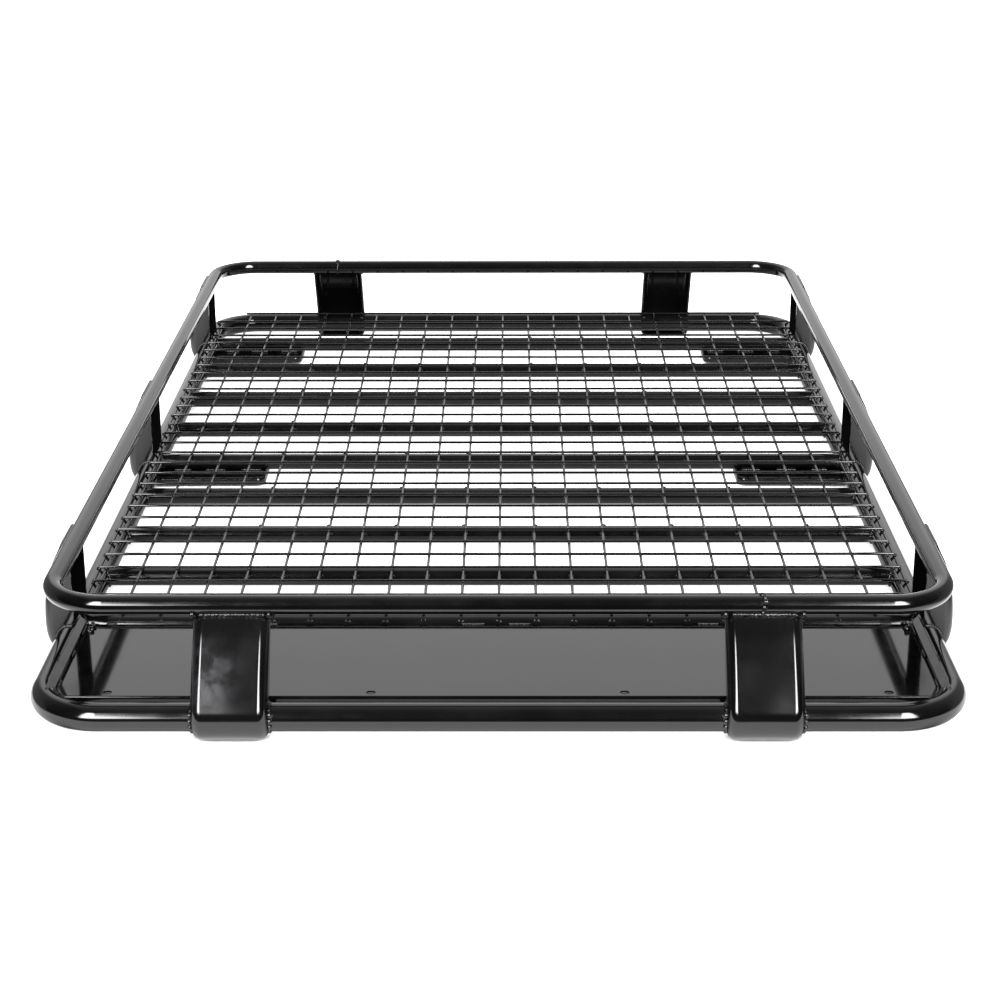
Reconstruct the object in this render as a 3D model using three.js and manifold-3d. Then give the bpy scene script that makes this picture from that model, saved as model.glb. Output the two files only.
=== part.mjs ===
// Roof cargo basket: a welded tube rack with a wire mesh floor, a raised top rail on pressed uprights,
// a front infill sheet with a strip at each side, and mounting plates underneath.
// Millimetres, +Z up, front towards -Y, X across the vehicle (right is +X).
// Origin: middle of the footprint, at the lowest plane.
import * as THREE from "three";
import { mergeVertices } from "three/addons/utils/BufferGeometryUtils.js";
import Module from "manifold-3d";

const wasm = await Module();
wasm.setup();

// ---------------------------------------------------------------- shared dimensions
const GAP = 0.3; // room left at every welded joint
const END_POST_X = 322; // front and rear uprights stand at plus and minus this

// Rail loops: halfX, halfY and cornerR are on the tube's centreline. Each loop is two equal halves,
// half a turn apart, so the front joint is at -rearJointX.
const BASE = {
  od: 35,
  wall: 2,
  halfX: 562.5,
  halfY: 901.5,
  z: 25.8,
  cornerR: 79,
  rearJointX: END_POST_X,
  cornerSteps: 6,
  outerSides: 16,
  innerSides: 8,
};
const TOP = {
  od: 24.2,
  wall: 2,
  halfX: 552.5,
  halfY: 851,
  z: 151.7,
  cornerR: 75,
  rearJointX: -322,
  cornerSteps: 6,
  outerSides: 14,
  innerSides: 8,
};
// Radius cut away round the base rail where other parts meet it.
const BASE_COPE_R = BASE.od / 2 + GAP + 0.25;
const CUTTER_SIDES = 24;

// Crossbars under the mesh, rear to front.
const BAR_OD = 25;
const BAR_WALL = 2;
const BAR_Z = 27.5;
const BAR_Y = [737.5, 560, 386.7, 211.2, 43.3, -121, -287, -453.3];
const FRONT_BAR_Y = -620.5;

// Places along each side that carry an upright and a mounting plate.
const PLACES = [
  { name: "rear", postY: BAR_Y[0], plateY: BAR_Y[0], plateInnerX: 384 },
  { name: "middle", postY: BAR_Y[4], plateY: BAR_Y[4], plateInnerX: 379 },
  { name: "front", postY: -618, plateY: FRONT_BAR_Y, plateInnerX: 379 },
];

// ---------------------------------------------------------------- solids and meshes
function toSolid(geometry) {
  geometry.deleteAttribute("normal");
  geometry.deleteAttribute("uv");
  const merged = mergeVertices(geometry, 1e-4);
  const mesh = new wasm.Mesh({
    numProp: 3,
    vertProperties: new Float32Array(merged.attributes.position.array),
    triVerts: new Uint32Array(merged.index.array),
  });
  mesh.merge();
  return new wasm.Manifold(mesh);
}

// Flat-shaded geometry of a solid.
function toGeometry(solid) {
  const { vertProperties, triVerts } = solid.getMesh();
  const indexed = new THREE.BufferGeometry();
  indexed.setAttribute("position", new THREE.BufferAttribute(vertProperties, 3));
  indexed.setIndex(new THREE.BufferAttribute(triVerts, 1));
  const flat = indexed.toNonIndexed();
  flat.computeVertexNormals();
  return flat;
}

const glossBlack = () =>
  new THREE.MeshStandardMaterial({ color: 0x08080a, roughness: 0.12, metalness: 0 });
const meshBlack = () =>
  new THREE.MeshStandardMaterial({ color: 0x0a0a0c, roughness: 0.25, metalness: 0 });

const group = new THREE.Group();

function add(name, solid, material = glossBlack()) {
  const mesh = new THREE.Mesh(toGeometry(solid), material);
  mesh.name = name;
  group.add(mesh);
}

const mirrorX = (solid) => solid.mirror([1, 0, 0]);

// Drops the slivers that a cut leaves beside the main body.
const largestPart = (solid) => solid.decompose().sort((a, b) => b.volume() - a.volume())[0];

// ---------------------------------------------------------------- outlines and prisms
const toVectors = (points) => points.map(([x, y]) => new THREE.Vector2(x, y));

// A prism standing on z = 0 and reaching z = depth.
function prism(outline, depth, holes = []) {
  const shape = new THREE.Shape(toVectors(outline));
  for (const hole of holes) shape.holes.push(new THREE.Path(toVectors(hole)));
  return toSolid(new THREE.ExtrudeGeometry(shape, { depth, bevelEnabled: false, steps: 1 }));
}

// The same with the rims of both end faces rounded; overall depth and outline are kept.
function roundedPrism(outline, depth, radius) {
  const geometry = new THREE.ExtrudeGeometry(new THREE.Shape(toVectors(outline)), {
    depth: depth - 2 * radius,
    steps: 1,
    bevelEnabled: true,
    bevelThickness: radius,
    bevelSize: radius,
    bevelOffset: -radius,
    bevelSegments: 3,
  });
  return toSolid(geometry.translate(0, 0, radius));
}

function box(size, centre) {
  return toSolid(new THREE.BoxGeometry(...size)).translate(centre);
}

function circle(radius, sides, centreX = 0, centreY = 0) {
  return Array.from({ length: sides }, (_, i) => {
    const angle = ((i + 0.5) / sides) * 2 * Math.PI;
    return [centreX + radius * Math.cos(angle), centreY + radius * Math.sin(angle)];
  });
}

// Points of an arc; angles in degrees.
function arc(centreX, centreY, radius, from, to, steps) {
  return Array.from({ length: steps + 1 }, (_, i) => {
    const angle = THREE.MathUtils.degToRad(from + ((to - from) * i) / steps);
    return [centreX + radius * Math.cos(angle), centreY + radius * Math.sin(angle)];
  });
}

// ---------------------------------------------------------------- bent tube
// Points of a path in plan, each with the sideways direction in which the tube's section lies.
function pathStations(path) {
  return path.map((point, i) => {
    let tangentX = 0;
    let tangentY = 0;
    for (const [from, to] of [[path[i - 1], point], [point, path[i + 1]]]) {
      if (!from || !to) continue;
      const length = Math.hypot(to[0] - from[0], to[1] - from[1]);
      tangentX += (to[0] - from[0]) / length;
      tangentY += (to[1] - from[1]) / length;
    }
    const size = Math.hypot(tangentX, tangentY);
    return { x: point[0], y: point[1], sideX: -tangentY / size, sideY: tangentX / size };
  });
}

// Tube along an open horizontal path: outer skin, inner skin and an annular face at each end.
function bentTube(path, { z, od, wall, outerSides, innerSides }) {
  const stations = pathStations(path);
  const positions = [];
  const indices = [];

  // Adds one ring of points per station and returns the index of each ring's first point.
  const addRings = (radius, sides) =>
    stations.map(({ x, y, sideX, sideY }) => {
      const first = positions.length / 3;
      for (const [across, up] of circle(radius, sides)) {
        positions.push(x + sideX * across, y + sideY * across, z + up);
      }
      return first;
    });

  const addSkin = (rings, sides, facesInwards) => {
    for (let i = 0; i + 1 < rings.length; i++) {
      for (let k = 0; k < sides; k++) {
        const next = (k + 1) % sides;
        const a = rings[i] + k;
        const b = rings[i] + next;
        const c = rings[i + 1] + k;
        const d = rings[i + 1] + next;
        if (facesInwards) indices.push(a, c, b, b, c, d);
        else indices.push(a, b, c, b, d, c);
      }
    }
  };

  // An end face: the two rings are zipped together by angle.
  const addEndFace = (outerFirst, innerFirst, facesBack) => {
    let outer = 0;
    let inner = 0;
    while (outer < outerSides || inner < innerSides) {
      const outerPoint = outerFirst + (outer % outerSides);
      const innerPoint = innerFirst + (inner % innerSides);
      const outerIsNext = (outer + 1.5) / outerSides <= (inner + 1.5) / innerSides;
      let third;
      if (inner >= innerSides || (outer < outerSides && outerIsNext)) {
        outer++;
        third = outerFirst + (outer % outerSides);
        indices.push(...(facesBack
          ? [innerPoint, third, outerPoint]
          : [outerPoint, third, innerPoint]));
      } else {
        inner++;
        third = innerFirst + (inner % innerSides);
        indices.push(...(facesBack
          ? [innerPoint, third, outerPoint]
          : [outerPoint, third, innerPoint]));
      }
    }
  };

  const outerRings = addRings(od / 2, outerSides);
  const innerRings = addRings(od / 2 - wall, innerSides);
  addSkin(outerRings, outerSides, false);
  addSkin(innerRings, innerSides, true);
  addEndFace(outerRings[0], innerRings[0], true);
  addEndFace(outerRings.at(-1), innerRings.at(-1), false);

  const geometry = new THREE.BufferGeometry();
  geometry.setAttribute("position", new THREE.Float32BufferAttribute(positions, 3));
  geometry.setIndex(indices);
  return toSolid(geometry);
}

// ---------------------------------------------------------------- rail loops
// Centreline from (rearX, +halfY) round the left side to (frontX, -halfY).
function halfLoop(rearX, frontX, { halfX, halfY, cornerR }, cornerSteps) {
  return [
    [rearX, halfY],
    ...arc(-halfX + cornerR, halfY - cornerR, cornerR, 90, 180, cornerSteps),
    ...arc(-halfX + cornerR, -halfY + cornerR, cornerR, 180, 270, cornerSteps),
    [frontX, -halfY],
  ];
}

function addRailLoop(name, rail) {
  const rearX = rail.rearJointX - GAP / 2;
  const frontX = -rail.rearJointX - GAP / 2;
  const left = bentTube(halfLoop(rearX, frontX, rail, rail.cornerSteps), rail);
  add(name + "_left", left);
  add(name + "_right", left.rotate([0, 0, 180]));
}

// Straight cutter for the right-hand base rail, centred on y = 0.
function straightRailCutter(length) {
  return prism(circle(BASE_COPE_R, CUTTER_SIDES), length)
    .rotate([90, 0, 0])
    .translate([BASE.halfX, length / 2, BASE.z]);
}

// Cutter that follows the whole right half of the base rail, bends included.
function bentRailCutter() {
  const path = halfLoop(0, 0, BASE, 12).map(([x, y]) => [-x, y]);
  return bentTube(path, {
    z: BASE.z,
    od: 2 * BASE_COPE_R,
    wall: 9,
    outerSides: 32,
    innerSides: 12,
  });
}

// ---------------------------------------------------------------- crossbars
const BAR_END_INSET = 7; // bar ends stop at least this far inside the base rail's centreline

function crossbar() {
  const bore = circle(BAR_OD / 2 - BAR_WALL, 8);
  const bar = prism(circle(BAR_OD / 2, 14), 2 * BASE.halfX, [bore])
    .rotate([0, 90, 0])
    .translate([-BASE.halfX, 0, BAR_Z]);
  // Both ends are coped to sit against the base rail; what lies beyond the copes is dropped.
  const cutter = straightRailCutter(80);
  const keep = box([2 * (BASE.halfX - BAR_END_INSET), 60, 60], [0, 0, BAR_Z]);
  return bar.subtract(mirrorX(cutter)).subtract(cutter).intersect(keep);
}

// ---------------------------------------------------------------- pressed uprights
// U channels, open side inwards.
const POST_W = 93;
const POST_T = 3;
const POST_R = 13; // outside radius of the two long bends
const NOTCH_ROOM = GAP + 0.2; // radial room round the rails

// Side views, [u, z]: u runs outwards from the base rail's centreline.
// Face: the outer face, top to bottom. Edge: the flanges' free edge, bottom to top.
const SIDE_FACE = [
  [6.2, 154.2], [11.5, 142], [17.4, 131], [24, 114], [29, 95], [32, 74], [33.4, 52],
  [33.2, 36], [30.5, 21], [23.5, 8.4], [13, 1.6], [2, 0], [-6.5, 0],
];
const SIDE_EDGE = [[-6.5, 0], [-6.5, 146]];
const END_FACE = [
  [-41.5, 141.5], [-33, 133.5], [-22, 121.5], [-8, 104], [6, 85], [18, 67], [27, 50],
  [31.6, 36], [30.5, 21], [23.5, 8.4], [13, 1.6], [2, 0], [-6.5, 0],
];
const END_EDGE = [[-6.5, 0], [-6.5, 50], [-56, 146]];

// The face curve runs downwards with the outside on its left, so inwards is to its right.
function offsetInwards(curve, distance) {
  return curve.map(([u, z], i) => {
    const before = curve[Math.max(i - 1, 0)];
    const after = curve[Math.min(i + 1, curve.length - 1)];
    const du = after[0] - before[0];
    const dz = after[1] - before[1];
    const length = Math.hypot(du, dz);
    return [u + (dz / length) * distance, z - (du / length) * distance];
  });
}

// The face curve carried on past both ends and closed well inside the rack.
function oversizeOutline(curve) {
  const topOverrun = 30;
  const footOverrun = 45;
  const [[u0, z0], [u1, z1]] = curve;
  const [footU, footZ] = curve.at(-1);
  const length = Math.hypot(u0 - u1, z0 - z1);
  const topU = u0 + ((u0 - u1) / length) * topOverrun;
  const topZ = z0 + ((z0 - z1) / length) * topOverrun;
  const backU = Math.min(topU, -50) - 60;
  return [
    [topU, topZ],
    ...curve,
    [footU - footOverrun, footZ],
    [backU, footZ + 10],
    [backU, topZ + 6],
  ];
}

// Cuts the oversize channel to height and to its free edge, leaving the outer face untouched.
function trimOutline(face, edge) {
  const outwards = 3;
  const above = 1;
  const below = 2;
  const [[topU, topZ]] = face;
  const [[footU, footZ], ...restOfEdge] = edge;
  return [
    [topU + outwards, topZ + above],
    ...face.map(([u, z]) => [u + outwards, z - below]),
    [footU, footZ - below],
    ...restOfEdge,
  ];
}

// Local frame: X is u, Y is height and the width runs along Z from 0.
function upright(face, edge, topRailU) {
  const notch = (rail, u, sides) =>
    prism(circle(rail.od / 2 + NOTCH_ROOM, sides, u, rail.z), POST_W + 4).translate([0, 0, -2]);
  const hollow = roundedPrism(
    oversizeOutline(offsetInwards(face, POST_T)),
    POST_W - 2 * POST_T,
    POST_R - POST_T,
  ).translate([0, 0, POST_T]);
  return roundedPrism(oversizeOutline(face), POST_W, POST_R)
    .intersect(prism(trimOutline(face, edge), POST_W))
    .subtract(hollow)
    .subtract(notch(BASE, 0, CUTTER_SIDES))
    .subtract(notch(TOP, topRailU, 20));
}

// Stands an upright up, centres its width on (x, y) and turns u to `angle` degrees from +X.
function placeUpright(solid, angle, x, y) {
  return solid
    .translate([0, 0, -POST_W / 2])
    .rotate([90, 0, angle])
    .translate([x, y, 0]);
}

function addUprights() {
  const side = upright(SIDE_FACE, SIDE_EDGE, TOP.halfX - BASE.halfX);
  for (const { name, postY } of PLACES) {
    add("upright_right_" + name, placeUpright(side, 0, BASE.halfX, postY));
    add("upright_left_" + name, placeUpright(side, 180, -BASE.halfX, postY));
  }
  const end = upright(END_FACE, END_EDGE, TOP.halfY - BASE.halfY);
  for (const [name, x] of [["left", -END_POST_X], ["right", END_POST_X]]) {
    add("upright_end_front_" + name, placeUpright(end, -90, x, -BASE.halfY));
    add("upright_end_rear_" + name, placeUpright(end, 90, x, BASE.halfY));
  }
}

// ---------------------------------------------------------------- mounting plates
// Shallow pressings with a turned-down rim, open below and at the outer end.
const PLATE_T = 3;
const PLATE_SKIRT = 11; // overall depth with the rim
const PLATE_W = 90;
const PLATE_OUTER_X = 546;
const PLATE_R = 14;

// Right-hand plate, centred on y = 0.
function mountPlate(innerX) {
  const outline = (inset, outerX) => {
    const halfW = PLATE_W / 2 - inset;
    const radius = PLATE_R - inset;
    const cornerX = innerX + PLATE_R;
    const cornerY = PLATE_W / 2 - PLATE_R;
    return [
      [outerX, -halfW],
      [outerX, halfW],
      ...arc(cornerX, cornerY, radius, 90, 180, 5),
      ...arc(cornerX, -cornerY, radius, 180, 270, 5),
    ];
  };
  const hollow = prism(outline(PLATE_T, PLATE_OUTER_X + 5), PLATE_SKIRT);
  const topZ = BAR_Z - BAR_OD / 2 - GAP;
  // The outer end tucks under the base rail.
  return prism(outline(0, PLATE_OUTER_X), PLATE_SKIRT)
    .subtract(hollow.translate([0, 0, -PLATE_T]))
    .translate([0, 0, topZ - PLATE_SKIRT])
    .subtract(straightRailCutter(120));
}

function addMountPlates() {
  for (const { name, plateY, plateInnerX } of PLACES) {
    const right = mountPlate(plateInnerX).translate([0, plateY, 0]);
    add("mount_plate_right_" + name, right);
    add("mount_plate_left_" + name, mirrorX(right));
  }
}

// ---------------------------------------------------------------- front infill sheet
const SHEET_T = 2;
const SHEET_TOP_Z = 32;
const SHEET_HALF_X = 545;
const SHEET_REAR_Y = -633.2;
const SHEET_FRONT_Y = -853.2;
const SHEET_LIP = 14; // overall depth of the turned-down front lip
const SHEET_BEND_R = 6; // outside radius
const HOLE_D = 11.5;
const HOLE_X = [-481.5, -156.3, 156.3, 481.5];
const HOLE_Y = -842.2;

function frontSheet(railCutter) {
  const length = SHEET_REAR_Y - SHEET_FRONT_Y;
  // Side view: [distance back from the front edge, height from the top face].
  const profile = [
    [length, 0],
    ...arc(SHEET_BEND_R, -SHEET_BEND_R, SHEET_BEND_R, 90, 180, 3),
    [0, -SHEET_LIP],
    [SHEET_T, -SHEET_LIP],
    ...arc(SHEET_BEND_R, -SHEET_BEND_R, SHEET_BEND_R - SHEET_T, 180, 90, 3),
    [length, -SHEET_T],
  ];
  // Local X, Y and Z become world Y, Z and X.
  let sheet = prism(profile, 2 * SHEET_HALF_X)
    .rotate([90, 0, 90])
    .translate([-SHEET_HALF_X, SHEET_FRONT_Y, SHEET_TOP_Z]);
  for (const x of HOLE_X) {
    const hole = prism(circle(HOLE_D / 2, 12), 20);
    sheet = sheet.subtract(hole.translate([x, HOLE_Y, SHEET_TOP_Z - 10]));
  }
  // The front corners follow the inside of the base rail's bends.
  return largestPart(sheet.subtract(railCutter).subtract(mirrorX(railCutter)));
}

// ---------------------------------------------------------------- side strips
// Thin flat bars leaning on the inner shoulder of the base rail, face turned up and inwards.
const STRIP_UPPER_EDGE = [553.6, 45.5]; // outboard edge of the face, [x, z]
const STRIP_LOWER_EDGE = [545.1, 38.5]; // inboard edge of the face, [x, z]
const STRIP_T = 3;
const STRIP_REAR_Y = -636;
const STRIP_FRONT_Y = -858;

function rightStrip(railCutter) {
  const [upperX, upperZ] = STRIP_UPPER_EDGE;
  const [lowerX, lowerZ] = STRIP_LOWER_EDGE;
  const width = Math.hypot(upperX - lowerX, upperZ - lowerZ);
  // From the face to the back of the strip.
  const backX = ((upperZ - lowerZ) / width) * STRIP_T;
  const backZ = (-(upperX - lowerX) / width) * STRIP_T;
  const section = [
    [upperX, upperZ],
    [lowerX, lowerZ],
    [lowerX + backX, lowerZ + backZ],
    [upperX + backX, upperZ + backZ],
  ];
  const strip = prism(section, STRIP_REAR_Y - STRIP_FRONT_Y)
    .rotate([90, 0, 0])
    .translate([0, STRIP_REAR_Y, 0]);
  return largestPart(strip.subtract(railCutter));
}

// ---------------------------------------------------------------- mesh floor
const WIRE = 3.6; // side of the square wire that stands for 4 mm round wire
const PITCH = 50;
const LONG_COUNT = 23;
const LONG_Z = 42.1;
const LONG_REAR_Y = 889.3;
const LONG_FRONT_Y = -628;
const CROSS_Z = 45.5;
const CROSS_REAR_Y = 887.5;
const CROSS_STEPS = 30; // pitches from the rearmost cross wire to the foremost
const CROSS_EVERY = 5; // pitches between cross wires
const CROSS_HALF = 560;
const CROSS_HALF_REAR = 510; // the rearmost wire is shorter
const OUTER_LONG_REAR_Y = CROSS_REAR_Y - PITCH - 12; // the outermost long wires stop short

function meshFloor() {
  const wires = [];
  const outermost = (LONG_COUNT - 1) / 2;
  for (let i = -outermost; i <= outermost; i++) {
    const rearY = Math.abs(i) === outermost ? OUTER_LONG_REAR_Y : LONG_REAR_Y;
    const length = rearY - LONG_FRONT_Y;
    wires.push(box([WIRE, length, WIRE], [i * PITCH, LONG_FRONT_Y + length / 2, LONG_Z]));
  }
  for (let i = 0; i <= CROSS_STEPS; i += CROSS_EVERY) {
    const half = i === 0 ? CROSS_HALF_REAR : CROSS_HALF;
    wires.push(box([2 * half, WIRE, WIRE], [0, CROSS_REAR_Y - i * PITCH, CROSS_Z]));
  }
  return wasm.Manifold.union(wires);
}

// ---------------------------------------------------------------- assembly
addRailLoop("top_rail", TOP);
addRailLoop("base_rail", BASE);

const bar = crossbar();
BAR_Y.forEach((y, i) => add("crossbar_" + (i + 1), bar.translate([0, y, 0])));
add("front_crossbar", bar.translate([0, FRONT_BAR_Y, 0]));

addUprights();
addMountPlates();

const railCutter = bentRailCutter();
add("front_sheet", frontSheet(railCutter));
const strip = rightStrip(railCutter);
add("side_strip_left", mirrorX(strip));
add("side_strip_right", strip);

add("mesh_floor", meshFloor(), meshBlack());

export default group;
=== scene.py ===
"""A gloss black roof basket: two rail loops joined by pressed uprights, on nine crossbars,
with a wire mesh floor, six mounting plates and a sheet across the front.

The basket lies level with +Z up, its front towards -Y and its right side towards +X.
Shapes are worked out in millimetres; materials, lights and camera are in metres.
"""
import math
import random

import bmesh
import bpy
import numpy as np
from mathutils import Matrix, Vector


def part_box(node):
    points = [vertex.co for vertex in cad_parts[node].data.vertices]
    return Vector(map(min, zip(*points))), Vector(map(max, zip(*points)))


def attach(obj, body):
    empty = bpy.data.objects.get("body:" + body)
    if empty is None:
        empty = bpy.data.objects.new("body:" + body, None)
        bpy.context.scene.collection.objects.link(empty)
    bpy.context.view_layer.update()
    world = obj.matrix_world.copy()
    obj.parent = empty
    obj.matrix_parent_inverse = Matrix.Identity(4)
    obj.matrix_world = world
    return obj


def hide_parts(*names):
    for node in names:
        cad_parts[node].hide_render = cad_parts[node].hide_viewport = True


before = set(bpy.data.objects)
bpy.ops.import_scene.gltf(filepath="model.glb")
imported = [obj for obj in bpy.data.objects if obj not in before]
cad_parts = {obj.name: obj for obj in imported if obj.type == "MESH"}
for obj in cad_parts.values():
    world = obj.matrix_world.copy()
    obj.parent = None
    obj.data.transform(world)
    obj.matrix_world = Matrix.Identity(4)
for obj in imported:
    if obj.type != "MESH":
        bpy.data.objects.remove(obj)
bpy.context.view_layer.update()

MM = 0.001
scene = bpy.context.scene
rng = random.Random(41)


# ------------------------------------------------------------------ sizes and places (mm)
def lo_hi(node):
    """The low and high corners of a frame piece."""
    lo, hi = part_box(node)
    return np.array(lo) * 1000, np.array(hi) * 1000


def mid(node):
    lo, hi = lo_hi(node)
    return (lo + hi) / 2


def rail_lines(prefix, radius, facets):
    """Half width, half length and height of a loop's centre line, from its faceted tubes."""
    left_lo, left_hi = lo_hi(prefix + "_left")
    right_hi = lo_hi(prefix + "_right")[1]
    reach = radius * math.cos(math.pi / facets)
    half_x = (right_hi[0] - left_lo[0]) / 2 - reach
    half_y = (left_hi[1] - left_lo[1]) / 2 - reach
    return round(half_x * 2) / 2, round(half_y * 2) / 2, (left_lo[2] + left_hi[2]) / 2


BASE_RADIUS, TOP_RADIUS, BAR_RADIUS = 17.5, 12.1, 12.5
TUBE_WALL = 2.0
BASE_CORNER, TOP_CORNER = 79.0, 75.0  # bend radius of each loop's corners
BASE_X, BASE_Y, BASE_Z = rail_lines("base_rail", BASE_RADIUS, 16)
TOP_X, TOP_Y, TOP_Z = rail_lines("top_rail", TOP_RADIUS, 14)
TOP_JOINT = 322.0  # distance of the top loop's butt joints from the middle
CUT_GAP = 0.05  # clearance where a piece is cut to fit a rail

POST_X = abs(mid("upright_end_front_right")[0])
BARS = ["crossbar_%d" % (i + 1) for i in range(8)] + ["front_crossbar"]
BAR_Y = [float(mid(bar)[1]) for bar in BARS]
BAR_Z = float(mid("crossbar_1")[2])
ROWS = ("rear", "middle", "front")
SIDE_Y = {row: float(mid("upright_right_" + row)[1]) for row in ROWS}
PLATE_Y = {row: float(mid("mount_plate_right_" + row)[1]) for row in ROWS}
sheet_lo, sheet_hi = lo_hi("front_sheet")
strip_lo, strip_hi = lo_hi("side_strip_right")


# ------------------------------------------------------------------ mesh helpers
class Soup:
    """Vertices and faces of one piece, in millimetres."""

    def __init__(self, verts=(), faces=()):
        self.verts, self.faces = [], []
        self.add(verts, faces)

    def add(self, verts, faces):
        start = len(self.verts)
        self.verts.extend(tuple(map(float, vert)) for vert in verts)
        self.faces.extend(tuple(i + start for i in face) for face in faces)


def soup_mesh(name, soup):
    """A mesh in metres with its normals facing out."""
    mesh = bpy.data.meshes.new(name)
    mesh.from_pydata([(x * MM, y * MM, z * MM) for x, y, z in soup.verts], [], soup.faces)
    bm = bmesh.new()
    bm.from_mesh(mesh)
    bmesh.ops.recalc_face_normals(bm, faces=bm.faces)
    bm.to_mesh(mesh)
    bm.free()
    return mesh


def dress(name, mesh, mat, node=None, sharp=34, weighted=True):
    """Turn a mesh into a finished object of the basket."""
    mesh.materials.clear()
    mesh.materials.append(mat)
    mesh.shade_smooth()
    mesh.set_sharp_from_angle(angle=math.radians(sharp))
    ob = bpy.data.objects.new(name, mesh)
    scene.collection.objects.link(ob)
    if weighted:
        normals = ob.modifiers.new("normals", "WEIGHTED_NORMAL")
        normals.mode = "FACE_AREA"
        normals.weight = 50
        normals.keep_sharp = True
    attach(ob, "root")
    if node:
        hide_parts(node)
    return ob


def build(name, soup, mat, node=None, sharp=34, weighted=True):
    return dress(name, soup_mesh(name, soup), mat, node, sharp, weighted)


def raw(name, soup):
    """A bare object used as a cutter or a blank."""
    ob = bpy.data.objects.new(name, soup_mesh(name, soup))
    scene.collection.objects.link(ob)
    return ob


def cut(blank, cutters):
    """The blank's mesh with every cutter taken away."""
    for cutter in cutters:
        modifier = blank.modifiers.new("cut", "BOOLEAN")
        modifier.operation = "DIFFERENCE"
        modifier.object = cutter
        modifier.solver = "MANIFOLD"
    bpy.context.view_layer.update()
    depsgraph = bpy.context.evaluated_depsgraph_get()
    mesh = bpy.data.meshes.new_from_object(blank.evaluated_get(depsgraph))
    for ob in [blank] + cutters:
        bpy.data.objects.remove(ob)
    bm = bmesh.new()
    bm.from_mesh(mesh)
    bmesh.ops.remove_doubles(bm, verts=bm.verts, dist=2e-6)
    bmesh.ops.dissolve_degenerate(bm, edges=bm.edges, dist=2e-6)
    bm.to_mesh(mesh)
    bm.free()
    return mesh


def mirror_x(mesh):
    mesh.transform(Matrix.Diagonal((-1, 1, 1, 1)))
    mesh.flip_normals()


def unit_rows(vectors):
    return vectors / np.maximum(np.linalg.norm(vectors, axis=1, keepdims=True), 1e-9)


def loft(rings, caps=True):
    """A skin over rings of one point count, closed at both ends if caps is set."""
    count = len(rings[0])
    last = (len(rings) - 1) * count
    verts = [point for ring in rings for point in ring]
    faces = []
    for i in range(0, last, count):
        j = i + count
        for k in range(count):
            m = (k + 1) % count
            faces.append((i + k, i + m, j + m, j + k))
    if caps:
        faces.append(tuple(range(count - 1, -1, -1)))
        faces.append(tuple(last + k for k in range(count)))
    return verts, faces


def side_frames(path, up):
    """Side and up vectors along a path, turned with it without twist."""
    steps = unit_rows(np.diff(path, axis=0))
    tangents = unit_rows(np.vstack([steps[:1], steps[:-1] + steps[1:], steps[-1:]]))
    first = tangents[0]
    guide = np.array(up, float)
    normal = guide - (guide @ first) * first
    if np.linalg.norm(normal) < 1e-4:
        # The path starts along the guide, so X takes its place.
        guide = np.array((1.0, 0, 0))
        normal = guide - (guide @ first) * first
    pairs = []
    for tangent in tangents:
        normal = normal - (normal @ tangent) * tangent
        normal /= np.linalg.norm(normal)
        pairs.append((np.cross(tangent, normal), normal))
    return pairs


def sweep(path, radii, seg, up=(0, 0, 1), caps=True, squash=1.0):
    """A round bar along a path, with one radius per point."""
    path = np.asarray(path, float)
    rings = []
    for centre, radius, (side, normal) in zip(path, radii, side_frames(path, up)):
        ring = []
        for k in range(seg):
            a = 2 * math.pi * (k + 0.5) / seg
            ring.append(centre + radius * (math.cos(a) * side + squash * math.sin(a) * normal))
        rings.append(ring)
    return loft(rings, caps)


def pipe(path, outer, inner, seg):
    """A hollow tube: outer skin, inner skin and two ring faces."""
    count = len(path)
    outer_verts, outer_faces = sweep(path, [outer] * count, seg, caps=False)
    inner_verts, inner_faces = sweep(path, [inner] * count, seg, caps=False)
    shift = len(outer_verts)
    faces = outer_faces + [tuple(reversed([i + shift for i in face])) for face in inner_faces]
    for end in (0, (count - 1) * seg):
        for k in range(seg):
            m = (k + 1) % seg
            faces.append((end + k, end + m, shift + end + m, shift + end + k))
    return outer_verts + inner_verts, faces


def on_circle(centre_x, centre_y, radius, degrees):
    a = math.radians(degrees)
    return centre_x + radius * math.cos(a), centre_y + radius * math.sin(a)


def arc(centre_x, centre_y, radius, start, end, steps):
    return [
        on_circle(centre_x, centre_y, radius, start + (end - start) * i / steps)
        for i in range(steps + 1)
    ]


def outline_offset(outline, distance):
    """A closed counter-clockwise outline moved inwards."""
    points = np.asarray(outline, float)
    before = unit_rows(points - np.roll(points, 1, 0))
    after = unit_rows(np.roll(points, -1, 0) - points)
    normal_before = np.stack([-before[:, 1], before[:, 0]], 1)
    normal_after = np.stack([-after[:, 1], after[:, 0]], 1)
    mitre = normal_before + normal_after
    mitre /= np.maximum((mitre * normal_before).sum(1, keepdims=True), 0.35)
    return points + mitre * distance


def slab(outline, bottom, top, lower_radius, upper_radius, steps):
    """A plate with a counter-clockwise outline and rounded lower and upper edges."""
    angles = [math.radians(90 * k / steps) for k in range(steps + 1)]
    low, high = lower_radius, upper_radius
    if low > 0:
        layers = [(low - low * math.sin(a), bottom + low - low * math.cos(a)) for a in angles]
    else:
        layers = [(0.0, bottom)]
    layers += [(high - high * math.cos(a), top - high + high * math.sin(a)) for a in angles]
    return Soup(*loft([[(x, y, z) for x, y in outline_offset(outline, d)] for d, z in layers]))


def rod(start, end, radius, seg=96):
    return Soup(*sweep([start, end], [radius, radius], seg))


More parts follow.
